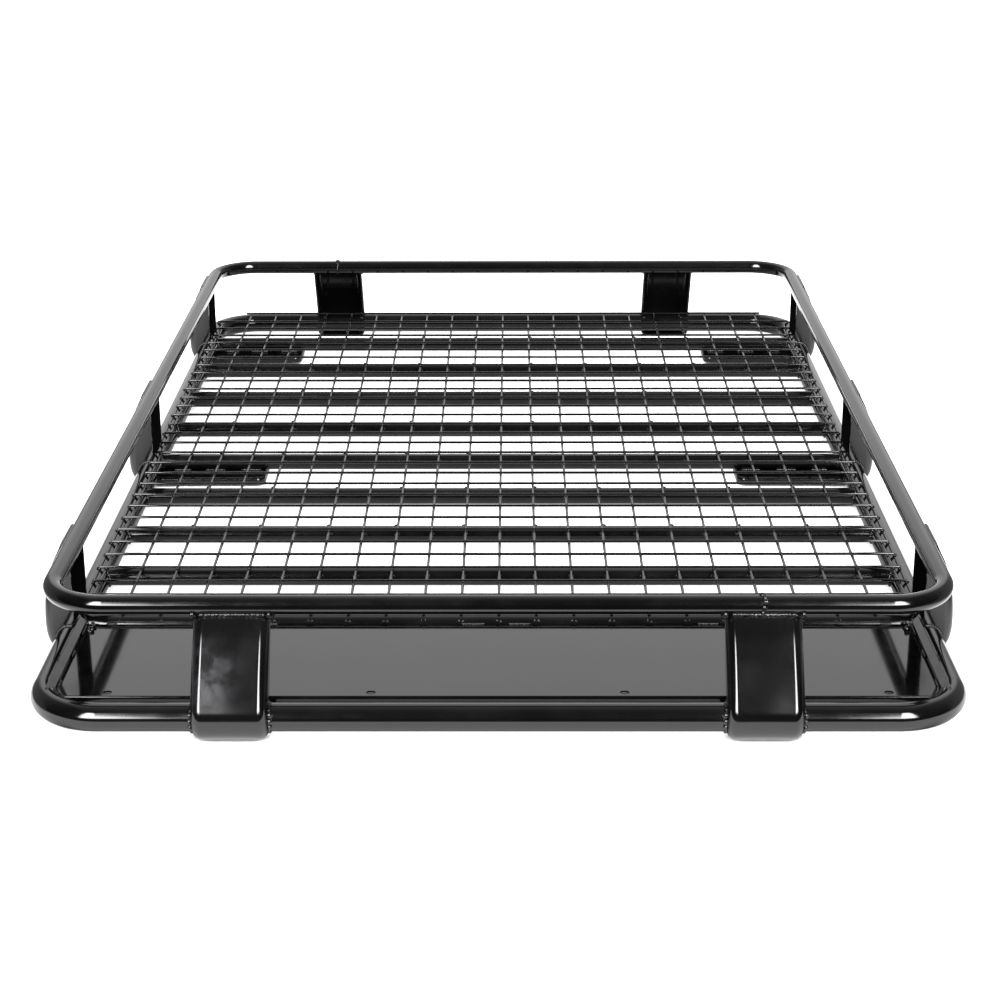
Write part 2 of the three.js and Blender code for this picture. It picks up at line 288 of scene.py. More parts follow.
# ------------------------------------------------------------------ shader helpers
class Shader:
    """An emptied node tree, with short ways to add nodes. Inputs take values or sockets."""

    def __init__(self, owner):
        owner.use_nodes = True
        self.tree = owner.node_tree
        self.tree.nodes.clear()
        self.coords = self.node("TexCoord").outputs

    def feed(self, socket, value):
        if isinstance(value, bpy.types.NodeSocket):
            self.tree.links.new(value, socket)
        else:
            socket.default_value = value

    def node(self, kind, inputs=None, **settings):
        node = self.tree.nodes.new("ShaderNode" + kind)
        for key, value in settings.items():
            setattr(node, key, value)
        for key, value in (inputs or {}).items():
            self.feed(node.inputs[key], value)
        return node

    def math(self, operation, *values):
        return self.node("Math", dict(enumerate(values)), operation=operation).outputs[0]

    def product(self, first, *others):
        for other in others:
            first = self.math("MULTIPLY", first, other)
        return first

    def step(self, source, start, end, low=0.0, high=1.0):
        """A smooth change from low at start to high at end."""
        inputs = {0: source, 1: start, 2: end, 3: low, 4: high}
        return self.node("MapRange", inputs, interpolation_type="SMOOTHSTEP").outputs[0]

    def mix_color(self, factor, first, second):
        return self.node("Mix", {0: factor, 6: first, 7: second}, data_type="RGBA").outputs[2]

    def mix_float(self, factor, first, second):
        return self.node("Mix", {0: factor, 2: first, 3: second}, data_type="FLOAT").outputs[0]

    def noise(self, scale, detail, roughness, offset):
        place = {0: self.coords["Object"], "Location": (offset, offset * 0.7, -offset)}
        mapping = self.node("Mapping", place)
        inputs = {"Scale": scale, "Detail": detail, "Roughness": roughness}
        inputs["Vector"] = mapping.outputs[0]
        return self.node("TexNoise", inputs).outputs["Fac"]


# ------------------------------------------------------------------ gloss black powder coat
COAT_IOR = 1.53
COAT_DARK = (0.0010, 0.0010, 0.00106, 1)
COAT_LIGHT = (0.0022, 0.0022, 0.00231, 1)
DUST_COLOR = (0.050, 0.052, 0.062, 1)
SPECK_SHARE = 0.25  # strength of fine specks against the dust
FILM_ROUGHNESS = 0.30  # roughness added by a full film of dust
EDGE_RADIUS = 0.0005  # softening of edges (m)


def paint(
    name,
    roughness=0.07,
    variation=0.03,
    peel_depth=3.5e-6,
    peel_scale=620.0,
    wave_depth=0.0,
    wave_scale=0.0,
    dust=0.05,
    soft_edges=True,
    smudge=None,
):
    """Gloss black coat. Depths are in metres; smudge is a hazy patch of handling marks."""
    mat = bpy.data.materials.new(name)
    shader = Shader(mat)
    coat = shader.node("BsdfPrincipled", {"IOR": COAT_IOR, "Metallic": 0.0})
    shader.node("OutputMaterial", {0: coat.outputs[0]})

    # Settled dust and handling haze: cloudy, stronger where the surface faces up.
    geometry = shader.node("NewGeometry")
    normal = shader.node("SeparateXYZ", {0: geometry.outputs["Normal"]})
    facing = shader.step(normal.outputs["Z"], start=0.1, end=0.95, low=0.25, high=1.0)
    clouds = shader.noise(scale=11.0, detail=6.0, roughness=0.62, offset=3.1)
    haze = shader.product(shader.step(clouds, start=0.42, end=0.72), facing)
    grain = shader.noise(scale=950.0, detail=1.0, roughness=0.5, offset=1.7)
    specks = shader.step(grain, start=0.70, end=0.80)
    film = shader.product(haze, dust)
    if smudge:
        place = {0: shader.coords["Object"], 1: smudge["centre"]}
        distance = shader.node("VectorMath", place, operation="DISTANCE").outputs["Value"]
        radius = smudge["radius"]
        near = shader.step(distance, start=radius, end=radius * 0.35)
        marks = shader.noise(scale=42.0, detail=5.0, roughness=0.6, offset=8.0)
        cloud = shader.step(marks, start=0.40, end=0.66)
        film = shader.math("ADD", film, shader.product(near, cloud, smudge["amount"]))

    # Colour: near black, a touch lighter where the film lies.
    drift = shader.noise(scale=3.2, detail=3.0, roughness=0.5, offset=5.0)
    black = shader.mix_color(shader.step(drift, start=0.3, end=0.7), COAT_DARK, COAT_LIGHT)
    cover = shader.math("ADD", film, shader.product(specks, dust * SPECK_SHARE))
    shader.feed(coat.inputs["Base Color"], shader.mix_color(cover, black, DUST_COLOR))

    # Roughness: clear gloss, softened by the film.
    patches = shader.noise(scale=26.0, detail=3.0, roughness=0.5, offset=9.0)
    gloss = shader.step(
        patches, start=0.25, end=0.75, low=roughness, high=roughness + variation
    )
    softened = shader.math("ADD", gloss, shader.product(film, FILM_ROUGHNESS))
    shader.feed(coat.inputs["Roughness"], softened)

    # Relief: orange peel of the coat, slow waviness of the metal under it, softened edges.
    peel = shader.noise(scale=peel_scale, detail=1.5, roughness=0.45, offset=2.0)
    relief = shader.node("Bump", {"Strength": 1.0, "Distance": peel_depth, "Height": peel})
    if soft_edges:
        bevel = shader.node("Bevel", {"Radius": EDGE_RADIUS}, samples=4)
        shader.feed(relief.inputs["Normal"], bevel.outputs[0])
    if wave_depth:
        waves = shader.noise(scale=wave_scale, detail=1.0, roughness=0.4, offset=4.0)
        inputs = {"Strength": 1.0, "Distance": wave_depth, "Height": waves}
        inputs["Normal"] = relief.outputs[0]
        relief = shader.node("Bump", inputs)
    shader.feed(coat.inputs["Normal"], relief.outputs[0])
    return mat


PRESSING = dict(roughness=0.08, wave_depth=0.0005, wave_scale=14.0, dust=0.07)
SMUDGE = dict(centre=(-0.356, -0.915, 0.092), radius=0.062, amount=0.19)

tube_mat = paint("gloss_black_tube", wave_depth=0.00015, wave_scale=6.0)
press_mat = paint("gloss_black_pressing", **PRESSING)
smudged_mat = paint("gloss_black_pressing_handled", smudge=SMUDGE, **PRESSING)
plate_mat = paint(
    "gloss_black_plate", roughness=0.10, wave_depth=0.0003, wave_scale=22.0, dust=0.08
)
sheet_mat = paint(
    "gloss_black_sheet",
    roughness=0.05,
    peel_depth=2e-6,
    wave_depth=0.00025,
    wave_scale=4.0,
    dust=0.04,
)
wire_mat = paint("gloss_black_wire", roughness=0.10, peel_depth=3e-6, soft_edges=False)
weld_mat = paint(
    "gloss_black_weld", variation=0.02, peel_depth=3e-6, peel_scale=900.0, soft_edges=False
)


# ------------------------------------------------------------------ the two rail loops
def half_loop(rear_x, front_x, half_x, half_y, corner, steps):
    """The left half of a loop's centre line, from its rear end round to its front end."""
    return (
        [(rear_x, half_y)]
        + arc(-half_x + corner, half_y - corner, corner, 90, 180, steps)
        + arc(-half_x + corner, -half_y + corner, corner, 180, 270, steps)
        + [(front_x, -half_y)]
    )


def rail(prefix, line, z, radius, seg):
    """Two equal halves, the right one turned half round from the left."""
    for side, sign in (("left", 1), ("right", -1)):
        path = [(sign * x, sign * y, z) for x, y in line]
        soup = Soup(*pipe(path, radius, radius - TUBE_WALL, seg))
        node = prefix + "_" + side
        build(node + "_tube", soup, tube_mat, node)


top_line = half_loop(-TOP_JOINT, TOP_JOINT, TOP_X, TOP_Y, TOP_CORNER, 28)
base_line = half_loop(POST_X, -POST_X, BASE_X, BASE_Y, BASE_CORNER, 28)
rail("top_rail", top_line, TOP_Z, TOP_RADIUS, 44)
rail("base_rail", base_line, BASE_Z, BASE_RADIUS, 56)


# ------------------------------------------------------------------ crossbars
def cope(z):
    """Distance from the middle to the base rail's inner side at height z."""
    return BASE_X - math.sqrt(max(BASE_RADIUS * BASE_RADIUS - (z - BASE_Z) ** 2, 0.0))


def crossbar(y, seg=40):
    """A tube across the basket, its ends coped round the base rail."""
    verts, faces = [], []
    for radius in (BAR_RADIUS, BAR_RADIUS - TUBE_WALL):
        for side in (-1, 1):
            for k in range(seg):
                a = 2 * math.pi * (k + 0.5) / seg
                z = BAR_Z + radius * math.sin(a)
                verts.append((side * cope(z), y + radius * math.cos(a), z))
    for k in range(seg):
        m = (k + 1) % seg
        faces.append((k, m, seg + m, seg + k))
        faces.append((2 * seg + m, 2 * seg + k, 3 * seg + k, 3 * seg + m))
        faces.append((m, k, 2 * seg + k, 2 * seg + m))
        faces.append((seg + k, seg + m, 3 * seg + m, 3 * seg + k))
    return Soup(verts, faces)


for bar, y in zip(BARS, BAR_Y):
    build(bar + "_tube", crossbar(y), tube_mat, bar)


# ------------------------------------------------------------------ pressed uprights
POST_WIDTH, POST_WALL, POST_BEND = 93.0, 3.0, 13.0
POST_BEND_STEPS = 12
# How far the top rail's centre line lies outside the base rail's.
TOP_OUT = {"side": TOP_X - BASE_X, "end": TOP_Y - BASE_Y}
# Outer face seen from the side, top to bottom: outward from the base rail's centre, height.
LEAN_SIDE = [
    (6.2, 154.2), (11.5, 142), (17.4, 131), (24, 114), (29, 95), (32, 74), (33.4, 52),
    (33.2, 36), (30.5, 21), (23.5, 8.4), (13, 1.6), (2, 0), (-6.5, 0),
]
LEAN_END = [
    (-41.5, 141.5), (-33, 133.5), (-22, 121.5), (-8, 104), (6, 85), (18, 67), (27, 50),
    (31.6, 36), (30.5, 21), (23.5, 8.4), (13, 1.6), (2, 0), (-6.5, 0),
]
# Inner edge of the flanges, bottom to top, in the same columns.
BACK_SIDE = [(-6.5, 146.0)]
BACK_END = [(-6.5, 50.0), (-61.0, 147.0)]


def smooth_curve(points, step=1.6, sigma=5.0):
    """A dense, fair curve: a Catmull-Rom spline, spaced evenly, then blurred."""
    p = np.asarray(points, float)
    dense = []
    ext = np.vstack([2 * p[0] - p[1], p, 2 * p[-1] - p[-2]])
    for i in range(1, len(ext) - 2):
        p0, p1, p2, p3 = ext[i - 1 : i + 3]
        for t in np.linspace(0, 1, 24, endpoint=False):
            square = (2 * p0 - 5 * p1 + 4 * p2 - p3) * t * t
            cube = (-p0 + 3 * p1 - 3 * p2 + p3) * t**3
            dense.append(0.5 * ((2 * p1) + (-p0 + p2) * t + square + cube))
    dense.append(p[-1])
    dense = np.array(dense)
    lengths = np.linalg.norm(np.diff(dense, axis=0), axis=1)
    run = np.concatenate([[0], np.cumsum(lengths)])
    stations = np.linspace(0, run[-1], int(run[-1] / step) + 1)
    even = np.stack([np.interp(stations, run, dense[:, j]) for j in (0, 1)], 1)
    reach = int(3 * sigma / step)
    weights = np.exp(-0.5 * (np.arange(-reach, reach + 1) * step / sigma) ** 2)
    weights /= weights.sum()
    before = 2 * even[0] - even[reach:0:-1]
    after = 2 * even[-1] - even[-2 : -reach - 2 : -1]
    padded = np.vstack([before, even, after])
    return np.stack([np.convolve(padded[:, j], weights, "valid") for j in (0, 1)], 1)


def inward(curve, depth):
    direction = unit_rows(np.gradient(curve, axis=0))
    return curve + np.stack([direction[:, 1], -direction[:, 0]], 1) * depth


def channel_section(wall, bend):
    """(across, depth below the face) over a channel's two bends, wall inside its skin."""
    section = []
    for k in range(POST_BEND_STEPS + 1):
        a = math.radians(90 * k / POST_BEND_STEPS)
        section.append((wall + bend - bend * math.cos(a), wall + bend - bend * math.sin(a)))
    return section + [(POST_WIDTH - across, depth) for across, depth in reversed(section)]


def layered(layers):
    """A solid from (across, outline) layers."""
    return Soup(*loft([[(u, z, across) for u, z in outline] for across, outline in layers]))


def upright_mesh(kind, lean, back):
    """A channel with rounded bends, open to the inside and cut round both rails."""
    curve = smooth_curve(lean)
    body = [
        (across, list(inward(curve, depth)) + back)
        for across, depth in channel_section(0.0, POST_BEND)
    ]
    hollow = []
    for across, depth in channel_section(POST_WALL, POST_BEND - POST_WALL):
        face = inward(curve, depth)
        upward = (face[0] - face[1]) / np.linalg.norm(face[0] - face[1])
        top = face[0] + upward * 30
        end = face[-1] + np.array((-60.0, 0.0))
        beyond = [end, (-150.0, end[1] + 12), (-150.0, top[1] + 8)]
        hollow.append((across, [top] + list(face) + beyond))
    name = kind + "_upright"
    blank = raw(name + "_blank", layered(body))
    cutters = [raw(name + "_hollow", layered(hollow))]
    for rail_name, u, z, radius in (
        ("_base", 0, BASE_Z, BASE_RADIUS),
        ("_top", TOP_OUT[kind], TOP_Z, TOP_RADIUS),
    ):
        bar = rod((u, z, -5), (u, z, POST_WIDTH + 5), radius + CUT_GAP)
        cutters.append(raw(name + rail_name, bar))
    return cut(blank, cutters)


def post_matrix(angle, x, y):
    """Local (outward, height, across) to the basket's frame, outward at angle from +X."""
    return (
        Matrix.Translation((x * MM, y * MM, 0))
        @ Matrix.Rotation(math.radians(angle), 4, "Z")
        @ Matrix.Rotation(math.radians(90), 4, "X")
        @ Matrix.Translation((0, 0, -POST_WIDTH / 2 * MM))
    )


post_mesh = {
    "side": upright_mesh("side", LEAN_SIDE, BACK_SIDE),
    "end": upright_mesh("end", LEAN_END, BACK_END),
}
posts = []  # name, matrix, kind
for row, y in SIDE_Y.items():
    posts.append(("upright_right_" + row, post_matrix(0, BASE_X, y), "side"))
    posts.append(("upright_left_" + row, post_matrix(180, -BASE_X, y), "side"))
for side, x in (("left", -POST_X), ("right", POST_X)):
    posts.append(("upright_end_front_" + side, post_matrix(-90, x, -BASE_Y), "end"))
    posts.append(("upright_end_rear_" + side, post_matrix(90, x, BASE_Y), "end"))
for name, matrix, kind in posts:
    mesh = post_mesh[kind].copy()
    mesh.name = name
    mesh.transform(matrix)
    mat = smudged_mat if name == "upright_end_front_left" else press_mat
    dress(name + "_pressing", mesh, mat, name, sharp=32)


# ------------------------------------------------------------------ mounting plates
PLATE_CORNER, PLATE_WALL = 14.0, 3
PLATE_END = BASE_X - 8.0


def mount_plate(name, sign, y):
    """A shallow pan with a turned-down rim, cut round the base rail."""
    lo, hi = lo_hi(name)
    inner = lo[0] if sign > 0 else -hi[0]
    half = (hi[1] - lo[1]) / 2

    def outline(inset, end):
        corner_x, corner_y = inner + PLATE_CORNER, half - PLATE_CORNER
        radius = PLATE_CORNER - inset
        return (
            [(end, -half + inset), (end, half - inset)]
            + arc(corner_x, corner_y, radius, 90, 180, 14)
            + arc(corner_x, -corner_y, radius, 180, 270, 14)
        )

    body = slab(outline(0, PLATE_END), lo[2], hi[2], 0.8, 4.5, 8)
    hollow_outline = outline(PLATE_WALL, PLATE_END + 30)
    hollow = slab(hollow_outline, lo[2] - 5, hi[2] - PLATE_WALL, 0, 2.0, 6)
    bar = rod((BASE_X, -100, BASE_Z), (BASE_X, 100, BASE_Z), BASE_RADIUS + CUT_GAP)
    mesh = cut(raw("pan", body), [raw("pan_hollow", hollow), raw("pan_rail", bar)])
    mesh.transform(Matrix.Translation((0, y * MM, 0)))
    if sign < 0:
        mirror_x(mesh)
    mesh.name = name
    dress(name + "_pan", mesh, plate_mat, name, sharp=40)


for row, y in PLATE_Y.items():
    for side, sign in (("right", 1), ("left", -1)):
        mount_plate("mount_plate_%s_%s" % (side, row), sign, y)

# ------------------------------------------------------------------ front sheet
SHEET_WALL, SHEET_BEND = 2.0, 2.2
SHEET_HALF = (sheet_hi[0] - sheet_lo[0]) / 2
SHEET_FRONT, SHEET_REAR = sheet_lo[1] - 3.0, sheet_hi[1]
SHEET_TOP, SHEET_BOTTOM = sheet_hi[2], sheet_lo[2]
HOLE_X = [-481.5, -156.3, 156.3, 481.5]
HOLE_RADIUS, HOLE_SETBACK = 5.75, 11


def rail_cutter(sign):
    """Half of the base rail: the right half for +1, the left for -1."""
    line = half_loop(0, 0, BASE_X, BASE_Y, BASE_CORNER, 40)
    path = [(sign * -x, y, BASE_Z) for x, y in line]
    return raw("rail_cutter", Soup(*sweep(path, [BASE_RADIUS + CUT_GAP] * len(path), 64)))


def hole_cutter(x):
    y = SHEET_FRONT + HOLE_SETBACK
    return raw("sheet_hole", rod((x, y, SHEET_TOP - 12), (x, y, SHEET_TOP + 12), HOLE_RADIUS, 40))


def front_sheet():
    """A flat sheet with a lip turned down at the front and four holes."""
    bend_y, bend_z = SHEET_FRONT + SHEET_BEND, SHEET_TOP - SHEET_BEND
    profile = (
        [(SHEET_REAR, SHEET_TOP)]
        + arc(bend_y, bend_z, SHEET_BEND, 90, 180, 10)
        + [(SHEET_FRONT, SHEET_BOTTOM), (SHEET_FRONT + SHEET_WALL, SHEET_BOTTOM)]
        + arc(bend_y, bend_z, SHEET_BEND - SHEET_WALL, 180, 90, 10)
        + [(SHEET_REAR, SHEET_TOP - SHEET_WALL)]
    )
    soup = Soup(*loft([[(x, y, z) for y, z in profile] for x in (-SHEET_HALF, SHEET_HALF)]))
    blank = raw("sheet_blank", soup)
    mesh = cut(blank, [hole_cutter(x) for x in HOLE_X] + [rail_cutter(1), rail_cutter(-1)])
    mesh.name = "front_sheet_panel"
    dress(mesh.name, mesh, sheet_mat, "front_sheet", sharp=30)


front_sheet()

# ------------------------------------------------------------------ strips beside the sheet
# Flat bars on the shoulder of the base rail. Top edges of the right one as (x, z).
STRIP_OUTER = np.array((553.6, 45.5))
STRIP_INNER = np.array((strip_lo[0], 38.5))
STRIP_WALL, STRIP_EDGE = 3.0, 0.7
STRIP_WIDTH = np.linalg.norm(STRIP_OUTER - STRIP_INNER)


def strip_section(inset):
    """Rounded rectangle of the flat bar in the XZ plane, counter-clockwise."""
    along = (STRIP_OUTER - STRIP_INNER) / STRIP_WIDTH
    across = np.array((-along[1], along[0]))
    left, right = STRIP_EDGE, STRIP_WIDTH - STRIP_EDGE
    top, bottom = -STRIP_EDGE, -STRIP_WALL + STRIP_EDGE
    flat = []
    for x, y, start in ((right, top, 0), (left, top, 90), (left, bottom, 180), (right, bottom, 270)):
        flat += arc(x, y, STRIP_EDGE - inset, start, start + 90, 4)
    return [STRIP_INNER + along * p + across * q for p, q in flat]


def side_strip(side, sign):
    front, rear = strip_lo[1], strip_hi[1]
    rings = []
    for y, inset in ((rear, 0.45), (rear - 0.5, 0.0), (front + 0.5, 0.0), (front, 0.45)):
        rings.append([(x, y, z) for x, z in strip_section(inset)])
    count = len(rings[0])
    verts, faces = loft(rings, caps=False)
    faces.append(tuple(range(count)))
    faces.append(tuple(3 * count + k for k in range(count - 1, -1, -1)))
    mesh = cut(raw("strip_blank", Soup(verts, faces)), [rail_cutter(1)])
    if sign < 0:
        mirror_x(mesh)
    node = "side_strip_" + side
    mesh.name = node
    dress(node + "_bar", mesh, plate_mat, node, sharp=50)


side_strip("right", 1)
side_strip("left", -1)

# ------------------------------------------------------------------ mesh floor
# 23 wires fore and aft, with 31 wires across on top of them.
WIRE_RADIUS, PITCH = 2.0, 50.0
LONG_Z, CROSS_Z = 42.1, 45.5
CROSS_REAR = 887.5
LONG_REAR = 889.3 - 40
OUTER_REAR = CROSS_REAR - PITCH - 12  # rear end of the outermost long wires
LONG_FRONT = float(lo_hi("mesh_floor")[0][1]) + 5.0
REAR_SHIFT, REAR_LIFT = 5.5, 1.6  # the rearmost cross wire lies further back and higher
LONG_X = [j * PITCH for j in range(-11, 12)]
CROSS_Y = [CROSS_REAR - i * PITCH + (REAR_SHIFT if i == 0 else 0) for i in range(31)]
# Rounded wire end: distance from the tip, share of the wire's radius.
WIRE_END = [(0.0, 0.55), (0.25, 0.8), (0.8, 0.96), (1.8, 1.0)]
# Rear end climbing on to the base rail: distance behind LONG_REAR, rise.
WIRE_RISE = [(-3, 0.0), (12, 0.05), (25, 0.5), (36, 1.2), (45.3, 1.7), (46.3, 1.75)]


def wire(start, end, sag=0.0):
    """One drawn wire with softly rounded ends and a slight sag."""
    start, end = np.array(start, float), np.array(end, float)
    length = np.linalg.norm(end - start)
    along = (end - start) / length
    path = [start + along * distance for distance, _ in WIRE_END]
    for i, share in enumerate(np.linspace(0.04, 0.96, 9)):
        drop = np.array((0, 0, -sag * math.sin(math.pi * i / 8)))
        path.append(start + along * length * share + drop)
    path += [end - along * distance for distance, _ in reversed(WIRE_END)]
    tip = [share * WIRE_RADIUS for _, share in WIRE_END]
    return sweep(path, tip + [WIRE_RADIUS] * 9 + tip[::-1], 12)


def mesh_floor():
    soup = Soup()
    for x in LONG_X:
        outermost = abs(x) == LONG_X[-1]
        rear = OUTER_REAR if outermost else LONG_REAR
        soup.add(*wire((x, LONG_FRONT, LONG_Z), (x, rear, LONG_Z)))
        if not outermost:
            path = [(x, LONG_REAR + back, LONG_Z + rise) for back, rise in WIRE_RISE]
            soup.add(*sweep(path, [WIRE_RADIUS] * 5 + [WIRE_RADIUS * 0.6], 12))
    for i, y in enumerate(CROSS_Y):
        half = 510.0 if i == 0 else 560.0
        z = CROSS_Z + (REAR_LIFT if i == 0 else 0)
        soup.add(*wire((-half, y, z), (half, y, z), sag=0.25))
    build("mesh_floor_wires", soup, wire_mat, "mesh_floor", weighted=False)


mesh_floor()

# ------------------------------------------------------------------ weld helpers
TURN = [2 * math.pi * k / 48 for k in range(48)]  # angles of a full ring
BEAD_UP = (0.11, 0.23, 0.97)  # guide for a bead's section, off every axis


def resample(path, step, closed):
    """Evenly spaced points, their distances along the path, and its length."""
    path = np.asarray(path, float)
    if closed:
        path = np.vstack([path, path[:1]])
    run = np.concatenate([[0], np.cumsum(np.linalg.norm(np.diff(path, axis=0), axis=1))])
    stations = np.linspace(0, run[-1], max(int(run[-1] / step), 6) + 1)
    if closed:
        stations = stations[:-1]
    points = np.stack([np.interp(stations, run, path[:, k]) for k in range(3)], 1)
    return points, stations, run[-1]


def bead(soup, path, radius, pitch=3.4, closed=False):
    """A rippled weld bead along a path."""
    points, stations, total = resample(path, pitch / 5, closed)
    if closed:
        pitch = total / max(round(total / pitch), 1)
    phase = rng.uniform(0, 6.28)
    slow = [rng.uniform(-1, 1) for _ in range(8)]
    wrap = 7 if closed else 8
    radii = []
    for distance in stations:
        place = distance / total * 7
        here, ahead = slow[int(place)], slow[(int(place) + 1) % wrap]
        drift = here + (ahead - here) * (place % 1.0)
        ripple = 0.5 + 0.5 * math.sin(2 * math.pi * distance / pitch + phase)
        size = radius * (0.78 + 0.27 * ripple**0.7 + 0.10 * drift)
        if not closed:
            taper = min(distance, total - distance) / (1.6 * radius)
            if taper < 1:
                size *= math.sqrt(max(1 - (1 - taper) ** 2, 0.04))
        radii.append(size)
    if closed:
        # The ring is swept as an open path that returns to its start.
        points = np.vstack([points, points[:1]])
        radii.append(radii[0])
    soup.add(*sweep(points, radii, 10, BEAD_UP, squash=0.85))


def blob(soup, centre, size, seg=10, rings=6):
    """A small round tack weld, size being its three half axes."""
    x, y, z = centre
    half_x, half_y, half_z = size
    verts = [(x, y, z - half_z)]
    for i in range(1, rings):
        a = math.pi * i / rings - math.pi / 2
        for k in range(seg):
            b = 2 * math.pi * k / seg
            swell = (1 + 0.10 * math.sin(3 * b + x)) * math.cos(a)
            verts.append((
                x + half_x * swell * math.cos(b),
                y + half_y * swell * math.sin(b),
                z + half_z * math.sin(a),
            ))
    verts.append((x, y, z + half_z))
    faces = [(0, 1 + (k + 1) % seg, 1 + k) for k in range(seg)]
    for i in range(rings - 2):
        low = 1 + i * seg
        high = low + seg
        for k in range(seg):
            m = (k + 1) % seg
            faces.append((low + k, low + m, high + m, high + k))
    top, last = len(verts) - 1, 1 + (rings - 2) * seg
    faces += [(top, last + k, last + (k + 1) % seg) for k in range(seg)]
    soup.add(verts, faces)


def spread(*ranges):
    """One random value from each (low, high) range."""
    return tuple(rng.uniform(low, high) for low, high in ranges)


def weld(name, soup, sharp=60):
    build(name, soup, weld_mat, weighted=False, sharp=sharp)


# ------------------------------------------------------------------ welds on the tubes
def crossbar_end_welds():
    """A ring of weld round each crossbar end, on the base rail."""
    soup = Soup()
    radius = BAR_RADIUS + 0.5
    for bar_y in BAR_Y:
        for side in (-1, 1):
            ring = []
            for a in TURN:
                z = BAR_Z + radius * math.sin(a)
                ring.append((side * (cope(z) - 0.9), bar_y + radius * math.cos(a), z))
            bead(soup, ring, 2.3, closed=True)
    weld("weld_crossbar_ends", soup)


# Lumps on a butt joint: angle round the tube from its outer side (degrees), radius.
JOINT_LUMPS = [(38, 4.6), (8, 4.0), (62, 3.2), (-30, 3.6), (-52, 3.4), (95, 3.4), (150, 2.8)]


def top_joint_welds():
    """The two butt joints of the top loop: rear left and front right."""
    soup = Soup()
    radius = TOP_RADIUS + 0.1
    for sign in (1, -1):
        ring = [
            (
                -sign * TOP_JOINT + 0.25 * math.sin(5 * a),
                sign * TOP_Y + radius * math.cos(a),
                TOP_Z + radius * math.sin(a),
            )
            for a in TURN
        ]
        bead(soup, ring, 2.2, pitch=2.8, closed=True)
    for sign in (1, -1):
        for degrees, size in JOINT_LUMPS:
            y, z = on_circle(TOP_Y, TOP_Z, TOP_RADIUS, degrees)
            x = -sign * TOP_JOINT + rng.uniform(-2.2, 2.2)
            blob(soup, (x, sign * y, z), (size * 1.1, size, size * 0.9))
    weld("weld_top_rail_joints", soup)


crossbar_end_welds()
top_joint_welds()

# ------------------------------------------------------------------ welds on the uprights
# Bead angles round the rails in degrees, 0 outward and 90 up.
POST_WELDS = {
    "side": dict(base_end=108, top_start=-118, top_end=-34, face=-6),
    "end": dict(base_end=100, top_start=-96, top_end=-38, face=-42),
}
BASE_START = -72
# Lumps at the flange corners of the end uprights: angle round the rail, radius.
TOP_LUMPS = [(-50, 5.0), (-36, 4.2), (-66, 3.6)]
BASE_LUMPS = [(30, 4.6), (8, 4.0), (-16, 3.4)]


def placed(matrix, u, z, across):
    """A point of an upright's own frame in the basket's frame."""
    return tuple(np.array(matrix @ Vector((u * MM, z * MM, across * MM))) / MM)


def post_welds(soup, matrix, kind):
    angles = POST_WELDS[kind]
    top_out = TOP_OUT[kind]

    def base_point(gap, degrees, across):
        return placed(matrix, *on_circle(0, BASE_Z, BASE_RADIUS + gap, degrees), across)

    def top_point(gap, degrees, across):
        return placed(matrix, *on_circle(top_out, TOP_Z, TOP_RADIUS + gap, degrees), across)

    # Flange edges round the base rail and round the top rail.
    for edge, out in ((0.0, -1), (POST_WIDTH, 1)):
        turns = np.linspace(BASE_START, angles["base_end"], 40)
        bead(soup, [base_point(0.6, a, edge + out * 0.7) for a in turns], 2.2)
        turns = np.linspace(angles["top_start"], angles["top_end"], 24)
        bead(soup, [top_point(0.5, a, edge - out * 0.2) for a in turns], 1.9)
    # The face's top edge to the top rail.
    stations = np.linspace(7, POST_WIDTH - 7, 20)
    bead(soup, [top_point(1.2, angles["face"], across) for across in stations], 2.4, pitch=4.6)
    if kind == "side":
        return
    # Lumps along the top edge, then at both flange corners.
    across = 8.0
    while across < POST_WIDTH - 7:
        size = rng.uniform(2.6, 3.7)
        centre = top_point(1.6, angles["face"] + rng.uniform(-7, 5), across)
        blob(soup, centre, (size * 1.25, size * 0.95, size * 0.85))
        across += rng.uniform(5.5, 9.5)
    for edge in (0.0, POST_WIDTH):
        for degrees, size in TOP_LUMPS:
            centre = top_point(1.6, degrees, edge + rng.uniform(-1.0, 1.0))
            blob(soup, centre, (size, size * 0.9, size * 0.85))
    for edge in (-1.6, POST_WIDTH + 1.6):
        for degrees, size in BASE_LUMPS:
            blob(soup, base_point(1.2, degrees, edge), (size * 0.8, size * 0.85, size))


post_soup = Soup()
for name, matrix, kind in posts:
    post_welds(post_soup, matrix, kind)
weld("weld_uprights", post_soup)


